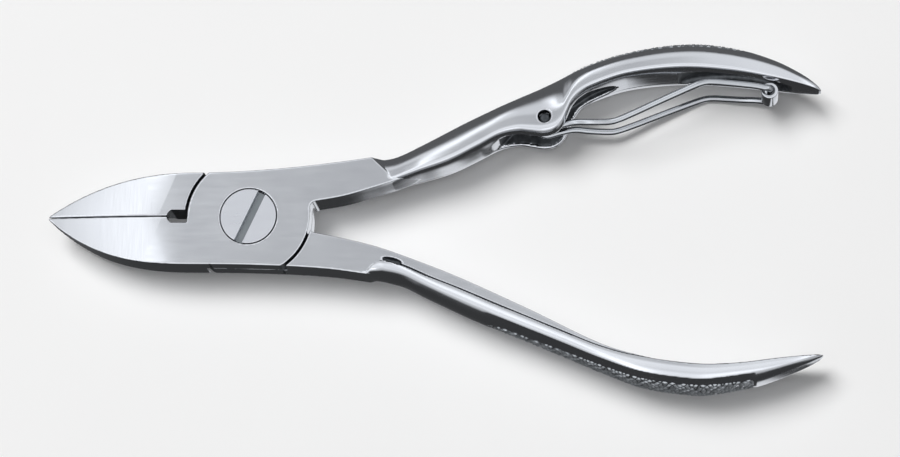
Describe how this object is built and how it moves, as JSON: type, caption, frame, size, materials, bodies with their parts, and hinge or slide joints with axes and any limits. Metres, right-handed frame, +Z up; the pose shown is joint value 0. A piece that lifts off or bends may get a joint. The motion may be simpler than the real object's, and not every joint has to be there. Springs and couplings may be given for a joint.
{
  "type": "lap-joint nail nipper",
  "caption": "Steel lap-joint nipper with pointed jaws, curved handles and a folding wire spring that ends in a roller.",
  "frame": {"origin": "under the middle of the closed nipper, on the plane it lies on", "axes": "+X from the jaws toward the handle tips, +Y toward the handle that carries the spring, +Z up along the pivot axis, out of the front face"},
  "size_m": [0.119, 0.0546, 0.0098],
  "materials": {
    "forged_steel": "polished stainless steel, satin on the flat faces, cross-hatched grips",
    "screw_steel": "fine-ground stainless steel",
    "pin_steel": "plain steel",
    "spring_wire": "bright drawn spring steel",
    "roller_steel": "polished steel"
  },
  "bodies": {
    "front_half": {"front_half": "forged_steel", "spring_pin": "pin_steel"},
    "back_half": {"back_half": "forged_steel", "pivot_screw": "screw_steel"},
    "spring": {"wire_spring": "spring_wire"},
    "roller": {"roller": "roller_steel"}
  },
  "joints": [
    {"name": "jaw_pivot", "type": "hinge", "parent": "front_half", "child": "back_half", "pos_m": [-0.02785, -0.00035, 0.00491], "axis": [0, 0, -1], "range_deg": [0, 28]},
    {"name": "spring_fold", "type": "hinge", "parent": "front_half", "child": "spring", "pos_m": [0.01745, 0.01505, 0.00491], "axis": [0, 0, -1], "range_deg": [0, 80]},
    {"name": "roller_spin", "type": "hinge", "parent": "spring", "child": "roller", "pos_m": [0.05165, 0.01965, 0.00491], "axis": [0, 0, 1], "continuous": true}
  ]
}
